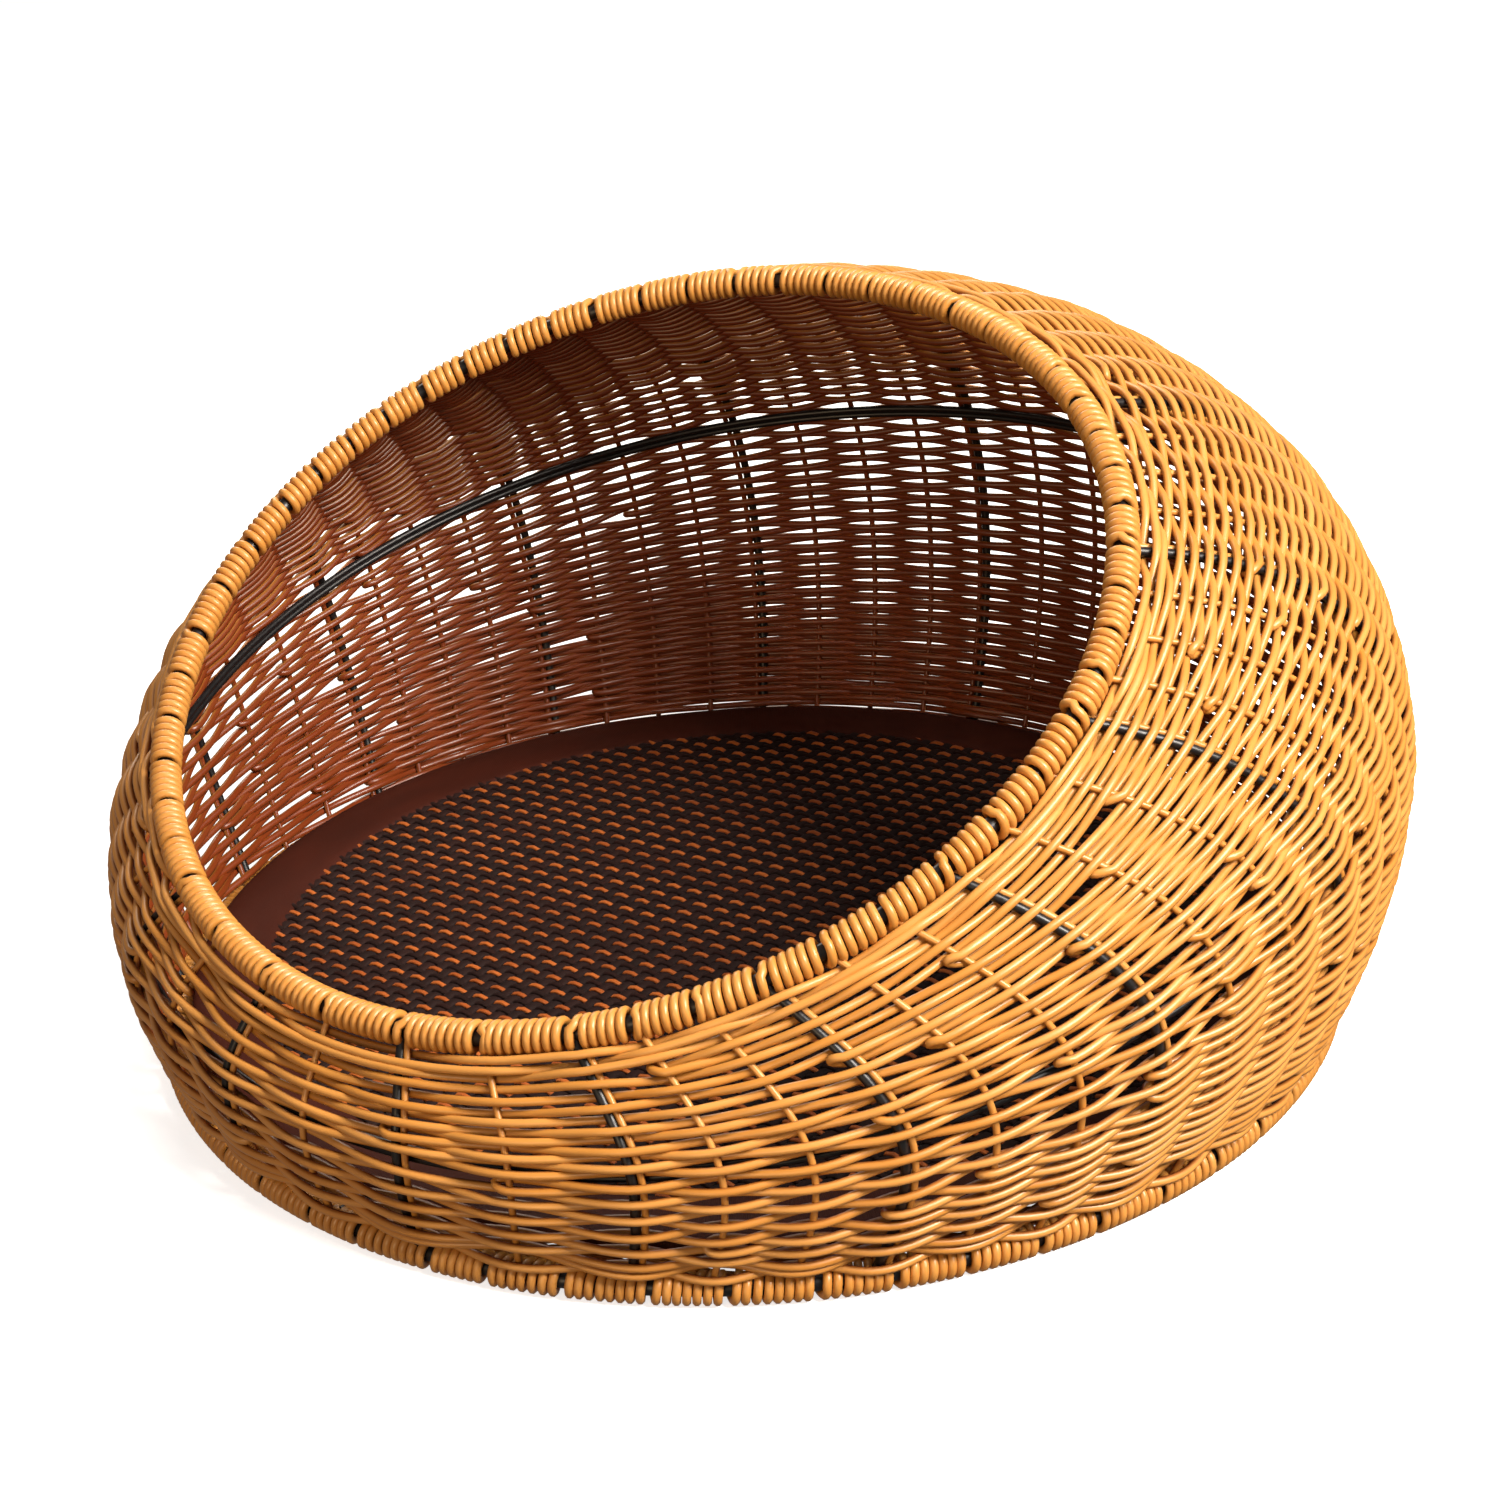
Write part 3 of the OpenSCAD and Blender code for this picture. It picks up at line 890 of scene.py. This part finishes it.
def edge_tape():
    """Brown woven polyester tape, bound over the mat's rim: a fine rib, a dull face and uneven dye."""
    material, tree, surface = new_material("woven_polyester_binding_tape")
    place = add_node(tree, "ShaderNodeUVMap", {"uv_map": "strand_mm"})
    ribs = add_node(tree, "ShaderNodeMapping", {"Scale": (1.0, 0.12, 1)}, {"Vector": place.outputs["UV"]})
    # One thread each 0.8 mm, drawn across the tape.
    thread = add_node(tree, "ShaderNodeTexWave", {"Scale": 0.4, "Distortion": 0.6, "Detail": 1.0},
                      {"Vector": ribs.outputs["Vector"]})
    dye = add_node(tree, "ShaderNodeMapping", {"Scale": (0.02, 0.1, 1)}, {"Vector": place.outputs["UV"]})
    patch = add_node(tree, "ShaderNodeTexNoise", {"Scale": 1.0, "Detail": 4.0},
                     {"Vector": dye.outputs["Vector"]})
    blend = add_node(tree, "ShaderNodeMath", {"operation": "MULTIPLY_ADD", 1: 0.35},
                     {0: thread.outputs["Fac"], 2: patch.outputs["Fac"]})
    colour = add_node(tree, "ShaderNodeMix", {"data_type": "RGBA", 6: shade("240C05"), 7: shade("451A0D")},
                      {0: blend.outputs[0]})
    rough = add_node(tree, "ShaderNodeMapRange", {"To Min": 0.55, "To Max": 0.75},
                     {"Value": thread.outputs["Fac"]})
    bump = add_node(tree, "ShaderNodeBump", {"Strength": 0.35, "Distance": 0.0002},
                    {"Height": thread.outputs["Fac"]})
    surface.inputs["IOR"].default_value = 1.5
    surface.inputs["Specular IOR Level"].default_value = 0.2
    tree.links.new(colour.outputs[2], surface.inputs["Base Color"])
    tree.links.new(rough.outputs["Result"], surface.inputs["Roughness"])
    tree.links.new(bump.outputs["Normal"], surface.inputs["Normal"])
    return material


def backing_cloth():
    """Very dark felt backing under the mat's weave: dull, with a fine nap. Its material is guessed."""
    material, tree, surface = new_material("black_felt_backing")
    place = add_node(tree, "ShaderNodeTexCoord")
    # The nap is about 1 mm across.
    nap = add_node(tree, "ShaderNodeTexNoise", {"Scale": 900.0, "Detail": 3.0},
                   {"Vector": place.outputs["Object"]})
    colour = add_node(tree, "ShaderNodeMix", {"data_type": "RGBA", 6: shade("0D0604"), 7: shade("22100A")},
                      {0: nap.outputs["Fac"]})
    bump = add_node(tree, "ShaderNodeBump", {"Strength": 0.5, "Distance": 0.0003},
                    {"Height": nap.outputs["Fac"]})
    surface.inputs["Roughness"].default_value = 0.9
    surface.inputs["Specular IOR Level"].default_value = 0.2
    tree.links.new(colour.outputs[2], surface.inputs["Base Color"])
    tree.links.new(bump.outputs["Normal"], surface.inputs["Normal"])
    return material


# ---------------------------------------------------------------- studio


FLOOR_GLOW = 0.72       # the floor gives off this much light itself, which keeps it white in the picture
FLOOR_REACH = 100       # metres to each side
SKY_STRENGTH = 0.17


def make_studio():
    """A pale floor that lights neither the nest nor its reflections, a dim sky, and four soft lights."""
    paper, tree, surface = new_material("white_paper_floor")
    place = add_node(tree, "ShaderNodeTexCoord")
    grain = add_node(tree, "ShaderNodeTexNoise", {"Scale": 40.0}, {"Vector": place.outputs["Object"]})
    tint = add_node(tree, "ShaderNodeMix", {"data_type": "RGBA", 6: shade("F4F3F1"), 7: shade("F8F7F6")},
                    {0: grain.outputs["Fac"]})
    tree.links.new(tint.outputs[2], surface.inputs["Base Color"])
    surface.inputs["Roughness"].default_value = 0.9
    surface.inputs["Emission Color"].default_value = shade("FFFFFF")
    surface.inputs["Emission Strength"].default_value = FLOOR_GLOW
    corners = FLOOR_REACH * np.array([[-1, -1, 0], [1, -1, 0], [1, 1, 0], [-1, 1, 0]], float)
    floor = show(mesh_of("studio_floor", corners, [np.array([[0, 1, 2, 3]])]), paper)
    floor.visible_diffuse = False
    floor.visible_glossy = False

    world = bpy.data.worlds.new("studio_sky")
    bpy.context.scene.world = world
    world.use_nodes = True
    sky = world.node_tree.nodes["Background"]
    sky.inputs["Color"].default_value = shade("FFFCF8")
    sky.inputs["Strength"].default_value = SKY_STRENGTH

    def softbox(name, azimuth, elevation, distance, size, watts, tint):
        light = bpy.data.lights.new(name, "AREA")
        light.shape = "DISK"
        light.size = size
        light.energy = watts
        light.color = shade(tint)[:3]
        lamp = bpy.data.objects.new(name, light)
        a, e = math.radians(azimuth), math.radians(elevation)
        back = Vector((math.sin(a) * math.cos(e), -math.cos(a) * math.cos(e), math.sin(e)))
        lamp.location = Vector((0, 0, 0.1)) + back * distance
        lamp.rotation_mode = "QUATERNION"
        lamp.rotation_quaternion = (-back).to_track_quat("-Z", "Y")
        bpy.context.scene.collection.objects.link(lamp)

    softbox("key_softbox", 88, 42, 1.9, 0.9, 76, "FFF6EA")
    softbox("top_softbox", 100, 80, 2.2, 1.4, 14, "FFFFFF")
    softbox("front_softbox", 12, 10, 2.2, 1.0, 12, "FFDDAE")
    softbox("back_softbox", 235, 30, 2.2, 1.2, 20, "FFF4E4")


def make_camera():
    """Stands to the nest's front right and above it, with a slight roll."""
    azimuth, elevation, roll = math.radians(39.87), math.radians(24.4), math.radians(-3.23)
    distance, lens = 1.1315, 69.2
    right = Vector((math.cos(azimuth), math.sin(azimuth), 0))
    back = Vector((math.sin(azimuth) * math.cos(elevation), -math.cos(azimuth) * math.cos(elevation),
                   math.sin(elevation)))
    up = back.cross(right)
    aim = Vector((0, -0.0082, 0.0985)) + 0.0054 * right
    across = math.cos(roll) * right + math.sin(roll) * up
    upright = -math.sin(roll) * right + math.cos(roll) * up
    data = bpy.data.cameras.new("camera")
    data.lens, data.sensor_width = lens, 36.0
    camera = bpy.data.objects.new("camera", data)
    turn = Matrix((across, upright, back)).transposed().to_4x4()
    camera.matrix_world = Matrix.Translation(aim + back * distance) @ turn
    bpy.context.scene.collection.objects.link(camera)
    bpy.context.scene.camera = camera


# ---------------------------------------------------------------- putting it together

make_camera()
make_studio()
bpy.context.scene.view_settings.view_transform = "Standard"

wicker = extruded_wicker()
enamel = enamelled_wire()
tan = mat_cord("tan_twisted_mat_cord", "8E431B", "C46A2E", 0.4, 0.55)
dark = mat_cord("dark_twisted_mat_cord", "140401", "260A03", 0.7, 0.88)

wicker_pieces = [*make_wall(wicker), make_stakes(wicker), *make_whipping(wicker), *make_floor(wicker)]
wire_pieces = [make_ribs(enamel), make_hoop(enamel), make_mouth_wire(enamel)]
for piece in wicker_pieces:
    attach(piece, "basket")
for piece in wire_pieces:
    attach(piece, "basket")
for name in ("base_ring", "floor_bar_side_to_side", "floor_bar_front_to_back"):
    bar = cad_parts[name]
    bar.data.materials.clear()
    bar.data.materials.append(enamel)

backing, weave, bound_edge, mat_radius = make_mat(backing_cloth(), tan, dark, edge_tape())
for piece in (backing, *weave, bound_edge):
    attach(piece, "mat")
